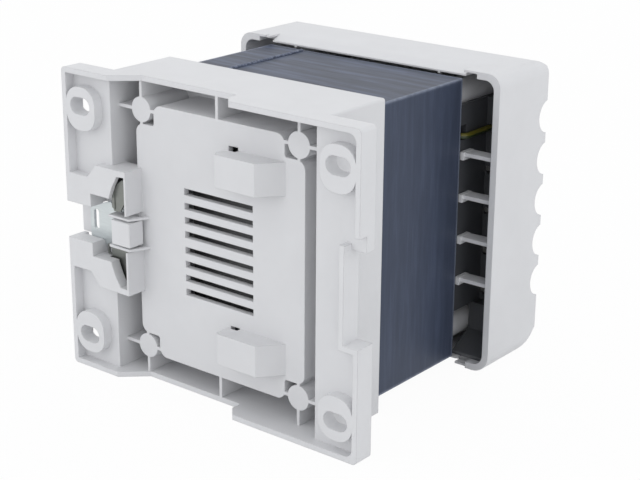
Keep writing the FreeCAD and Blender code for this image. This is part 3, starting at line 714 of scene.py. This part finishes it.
# terminal cover, in mm
COVER_X = 54.1
COVER_Z = 50.9
COVER_BACK_Y = 79.5
COVER_FRONT_Y = 110.2
COVER_WALL = 2.3
COVER_FRONT_WALL = 2.4
COVER_EDGE = 1.0
COVER_LOW_R = 6.0
COVER_TOP_R = 4.6
COVER_SLOPE = 9.2
COVER_BROW = 5.0
COVER_END_X = COVER_X + PAST
SKIN_Y = COVER_FRONT_Y - 1.2
SKIN_X = COVER_X - 1.1
CORE_FRONT_Y = 79.5
PILLAR_R = 5.4
SHANK_R = 2.3
HEAD_R = 4.4
HEAD_SEAT_Y = 98.0
ENTRY_X = 46.7
ENTRY_R = 5.6
ENTRY_EDGE = 0.9
ENTRY_WALL_Y = 101.6
WIRE_R = 1.8
DRIVER_X = 40.6
DRIVER_R = 3.2
RELIEF_X = 40.4
RELIEF_Y = COVER_BACK_Y + 1.2
GAP_X = 45.3
COVER_RIB_Y = COVER_BACK_Y + 1.6
COVER_RIB_X = COVER_X - 14.7
COVER_RIB_DEPTH = 5.2
TERMINAL_PITCH = 14.4
TERMINAL_LEVELS = [3.3 + TERMINAL_PITCH * i for i in (-2, -1, 0, 1, 2)]


def cover_block():
    """Solid outside of the cover, with its rounded corners and bevelled front."""
    x, z, low_r, top_r = COVER_X, COVER_Z, COVER_LOW_R, COVER_TOP_R
    outer = rounded([(-x, -z, low_r), (x, -z, low_r), (x, z, top_r), (-x, z, top_r)])
    x, z = x - COVER_EDGE, z - COVER_EDGE
    low_r, top_r = COVER_LOW_R - COVER_EDGE, COVER_TOP_R - 0.7
    front = rounded([(-x, -z, low_r), (x, -z, low_r), (x, z, top_r), (-x, z, top_r)])
    return loft([(outer, COVER_BACK_Y), (outer, COVER_FRONT_Y - COVER_EDGE), (front, COVER_FRONT_Y)])


def beyond_slope(inset):
    """Everything beyond the sloping lower edge of the front, moved inwards by this much."""
    reach = COVER_SLOPE + inset * math.sqrt(2) + 2 * PAST
    front, bottom = COVER_FRONT_Y + PAST, -COVER_Z - PAST
    outline = [(front, bottom + reach), (front, bottom), (front - reach, bottom)]
    return prism(outline, "x", -COVER_END_X, COVER_END_X)


def beyond_brow():
    """Everything beyond the rounded upper edge of the front."""
    r, steps = COVER_BROW, 12
    y, z = COVER_FRONT_Y - r, COVER_Z - r
    turns = [math.pi / 2 / steps * i for i in range(steps + 1)]
    outline = [(y + r * math.sin(turn), z + r * math.cos(turn)) for turn in turns]
    outline += [(y + r + PAST, z), (y + r + PAST, COVER_Z + PAST), (y, COVER_Z + PAST)]
    return prism(outline, "x", -COVER_END_X, COVER_END_X)


def cover_room():
    """Room inside the cover, which follows the sloping edge."""
    x, z = COVER_X - COVER_WALL, COVER_Z - COVER_WALL
    radii = (3.7, 3.7, 3.2, 3.2)
    room = block(-x, x, COVER_BACK_Y - PAST, COVER_FRONT_Y - COVER_FRONT_WALL, -z, z, radii)
    return cut(room, beyond_slope(COVER_WALL))


def cover_relief():
    """The wall over the core is set back and tapers towards its edge."""
    y, top = RELIEF_Y, COVER_Z + PAST
    outline = [(y - 1, COVER_Z - 1.7), (y, COVER_Z - 1.7), (y + 4.2, COVER_Z), (y + 4.2, top), (y - 1, top)]
    taper = prism(outline, "x", -RELIEF_X, RELIEF_X)
    return both(taper) + both(block(-RELIEF_X, RELIEF_X, COVER_BACK_Y - PAST, y, COVER_Z - 2.8, top))


def relief_corners():
    """Small gaps in the edge where the set-back wall meets the full one, and one notch on the left."""
    start, back = RELIEF_X - 0.1, COVER_BACK_Y - PAST
    upper = both(block(start, GAP_X, back, COVER_BACK_Y + 5.4, 48.1, 50.2), 0)
    lower = [mirrored(form, 2) for form in upper]
    lower += both(block(start, GAP_X, back, RELIEF_Y, -51.9, -49.0), 0)
    return upper + lower + [block(-42.6, -42.2, back, COVER_BACK_Y + 1.8, 49.9, COVER_Z + PAST)]


def wire_entry(z):
    """Half-round entry on the right with eased edges, and the hole for the wire behind it."""
    front, end = COVER_FRONT_Y, ENTRY_R + ENTRY_EDGE + PAST
    outline = [(front + PAST, z - end), (front + PAST, z + end), (front - ENTRY_EDGE, z + ENTRY_R),
               (front - ENTRY_EDGE, z - ENTRY_R)]
    return [prism(circle(front, z, ENTRY_R), "x", ENTRY_X, COVER_END_X),
            prism(outline, "x", ENTRY_X, COVER_END_X),
            prism(circle(front - 3.7, z, WIRE_R, 20), "x", ENTRY_X - 3, ENTRY_X + PAST)]


def cover_ribs():
    """Ribs between the terminals, each with a thicker inner end, and the two nibs over the core."""
    x, y, back = COVER_RIB_X, COVER_RIB_Y, COVER_RIB_Y + COVER_RIB_DEPTH
    parts = []
    for level in TERMINAL_LEVELS[:-1]:
        top = level + TERMINAL_PITCH / 2 - 1.65
        parts += both(block(x, SKIN_X, y, back, top - 1.3, top), 0)
        parts += both(block(x, x + 1.5, y - 0.6, back, top - 2.5, top + 0.2), 0)
    return parts + both(block(29.55, 30.45, y - 0.4, y + 3.8, 48.1, 48.8), 0)


def cover_pillars():
    """Pillars that stand on the core, a hair clear of it at the upper right."""
    parts = []
    for x in (-HOLE_X, HOLE_X):
        for z in (-HOLE_Z, HOLE_Z):
            seat = CORE_FRONT_Y + (0.8 if x > 0 and z > 0 else 0.0)
            parts.append(rod_y(x, z, PILLAR_R, seat, SKIN_Y))
    return parts


def cover_openings():
    """Bores of the long screws, wire entries, and the holes over the terminal screws."""
    front = COVER_FRONT_Y + PAST
    cuts = []
    for x in (-HOLE_X, HOLE_X):
        for z in (-HOLE_Z, HOLE_Z):
            cuts += [rod_y(x, z, SHANK_R, 78, front), rod_y(x, z, HEAD_R, HEAD_SEAT_Y, front)]
    for z in TERMINAL_LEVELS:
        for form in wire_entry(z):
            cuts += both(form, 0)
        cuts += both(rod_y(DRIVER_X, z, DRIVER_R, ENTRY_WALL_Y, front), 0)
    return cuts


def terminal_cover():
    cover = cut(cover_block(), cover_room())
    entry_walls = both(block(ENTRY_X - 2, SKIN_X, ENTRY_WALL_Y, SKIN_Y, -32.5, 39.1), 0)
    fuse(cover, *cover_ribs(), *entry_walls, *cover_pillars())
    return cut(cover, beyond_slope(0), beyond_brow(), *cover_relief(), *cover_openings(), *relief_corners())


def painted_shade_feet():
    """Lower ends of the dark carriers, which stand on the lower wall of the cover: dark blocks that paint
    the shade in the bottom of the cover's room.
    """
    outline = [(92.0, -32.4), (107.5, -32.4), (107.5, -48.4), (82.5, -48.4), (82.5, -47.2), (92.0, -42.0)]
    foot = cut(prism(outline, "x", 38.0, 51.6), beyond_slope(COVER_WALL + 0.3))
    return fuse(foot, mirrored(foot, 0))


def make_pieces(looks):
    """Pieces of the scene: what replaces a node of the frame, and three small ones of its own."""
    light, carrier = looks["light"], looks["carrier"]
    foot, latch = "transformer", "rail_latch"
    finish_piece(mounting_foot(), "foot_moulding", foot, "grey_moulding", light, "mounting_foot")
    finish_piece(terminal_cover(), "cover_moulding", foot, "grey_moulding", light, "terminal_cover")
    finish_piece(latch_slide(), "pull_tab", latch, "zinc_steel", looks["zinc"], "latch_slide")
    finish_piece(latch_nose(), "nose_block", latch, "grey_moulding", light, "latch_nose")
    finish_piece(latch_grip(), "tab_grip", latch, "grey_moulding", light)
    finish_piece(latch_springs(), "spring_arms", foot, "spring_steel", looks["spring"], "latch_springs")
    # dark plates in the hollows of the guide blocks: painted shade
    finish_piece(painted_shade_seats(), "painted_shade_seats", foot, "black_moulding", carrier)
    # dark blocks on the lower wall inside the cover: painted shade
    finish_piece(painted_shade_feet(), "painted_shade_feet", foot, "black_moulding", carrier)


def dress(node, material):
    """Gives a carried-over node its material."""
    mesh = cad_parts[node].data
    mesh.materials.clear()
    mesh.materials.append(material)
    for face in mesh.polygons:
        face.material_index = 0


def dress_nodes(nodes, material):
    for node in nodes:
        dress(node, material)


def dress_all():
    """Materials of all carried-over nodes; those that the scene's own pieces take are returned."""
    light = moulded_plastic("light_grey_moulding", GREY_PLASTIC, 0.48, 0.35)
    zinc = metal("zinc_plate", ZINC, 0.36, streak=(0.2, 1.0, 2.0))
    spring = metal("spring_steel", SPRING, 0.34, streak=(1.0, 0.2, 1.0))
    carrier = moulded_plastic("dark_carrier_moulding", CARRIER_PLASTIC, 0.45, 0.25)
    steel = metal("screw_steel", STEEL, 0.3)
    tin = metal("tinned_metal", TIN, 0.35)
    dress_nodes(("terminal_carrier_right", "terminal_carrier_left"), carrier)
    dress_nodes(("bobbin",), moulded_plastic("bobbin_moulding", BOBBIN_PLASTIC, 0.5, 0.2))
    dress_nodes(("core_e_stack", "core_i_stack"), core_lacquer())
    dress_nodes(("core_weld_beads",), weld_lacquer())
    dress_nodes(("primary_winding", "secondary_winding"), wound_wire("enamelled_wire", COPPER, 0.8))
    dress_nodes(("winding_insulation",), wrapped_tape("insulation_film", FILM, 9.0))
    dress_nodes(("winding_wrap",), wrapped_tape("grey_tape", WRAP_TAPE, 12.0))
    dress_nodes(("terminal_screws_right", "terminal_screws_left", "terminal_clamps_right",
                 "terminal_clamps_left", "long_screws", "screw_washers"), steel)
    dress_nodes(("terminal_bars_right", "terminal_bars_left", "earth_lug"), tin)
    dress_nodes(("earth_lead",), lead_jacket("earth_jacket", SHADED_EARTH_GREEN, SHADED_EARTH_YELLOW, EARTH_LEVEL_MM))
    dress_nodes(("primary_leads", "secondary_leads"), lead_jacket("black_jacket", BLACK_PLASTIC))
    return {"light": light, "carrier": carrier, "zinc": zinc, "spring": spring}


def camera_only(tree, shown, lit):
    """Mixes two shaders: the first where the camera, a mirror or glass looks, the second for light."""
    path = tree.nodes.new("ShaderNodeLightPath")
    seen = path.outputs["Is Camera Ray"]
    for ray in ("Is Glossy Ray", "Is Transmission Ray"):
        either = tree.nodes.new("ShaderNodeMath")
        either.operation = "MAXIMUM"
        tree.links.new(seen, either.inputs[0])
        tree.links.new(path.outputs[ray], either.inputs[1])
        seen = either.outputs[0]
    mixer = tree.nodes.new("ShaderNodeMixShader")
    tree.links.new(seen, mixer.inputs[0])
    tree.links.new(lit, mixer.inputs[1])
    tree.links.new(shown, mixer.inputs[2])
    return mixer.outputs[0]


def make_world():
    """White behind the object, and an even pale light on it."""
    world = bpy.data.worlds.new("studio")
    bpy.context.scene.world = world
    world.use_nodes = True
    tree = world.node_tree
    tree.nodes.clear()
    shown = tree.nodes.new("ShaderNodeBackground")
    shown.inputs["Strength"].default_value = 1.0
    shown.inputs["Color"].default_value = (1, 1, 1, 1)
    lit = tree.nodes.new("ShaderNodeBackground")
    lit.inputs["Strength"].default_value = WORLD_LIGHT
    lit.inputs["Color"].default_value = (0.97, 0.985, 1, 1)
    out = tree.nodes.new("ShaderNodeOutputWorld")
    tree.links.new(camera_only(tree, shown.outputs[0], lit.outputs[0]), out.inputs["Surface"])


def make_floor():
    """Plain floor that shows nearly white and keeps the object's shadow."""
    bpy.ops.mesh.primitive_plane_add(size=FLOOR_SIZE, location=(0, 0, FLOOR_Z))
    floor = bpy.context.object
    floor.name = "floor"
    mat = bpy.data.materials.new("floor")
    mat.use_nodes = True
    tree = mat.node_tree
    bsdf = tree.nodes["Principled BSDF"]
    bsdf.inputs["Base Color"].default_value = (FLOOR_GREY, FLOOR_GREY, FLOOR_GREY, 1)
    bsdf.inputs["Roughness"].default_value = 0.9
    glow = tree.nodes.new("ShaderNodeEmission")
    glow.inputs["Strength"].default_value = 1.0
    white = tree.nodes.new("ShaderNodeMixShader")
    white.inputs[0].default_value = FLOOR_WHITE
    tree.links.new(bsdf.outputs[0], white.inputs[1])
    tree.links.new(glow.outputs[0], white.inputs[2])
    out = tree.nodes["Material Output"]
    tree.links.new(camera_only(tree, white.outputs[0], bsdf.outputs[0]), out.inputs["Surface"])
    floor.data.materials.append(mat)


def make_lamp(name, place, aim, size, power):
    data = bpy.data.lights.new(name, "AREA")
    data.size = size
    data.energy = power
    lamp = bpy.data.objects.new(name, data)
    bpy.context.scene.collection.objects.link(lamp)
    lamp.location = place
    lamp.rotation_euler = (Vector(aim) - Vector(place)).to_track_quat("-Z", "Y").to_euler()


def make_lamps():
    centre = (0, 0.055, 0)
    make_lamp("overhead_softbox", (-0.25, -0.1, 1.1), centre, 1.0, OVERHEAD_WATTS)
    make_lamp("left_softbox", (-0.5, -1.1, 0.45), centre, 0.8, LEFT_WATTS)
    make_lamp("right_softbox", (1.1, -0.1, 0.35), centre, 0.8, RIGHT_WATTS)


make_camera()
make_world()
make_floor()
make_lamps()
make_pieces(dress_all())

scene = bpy.context.scene
scene.view_settings.view_transform = "Standard"
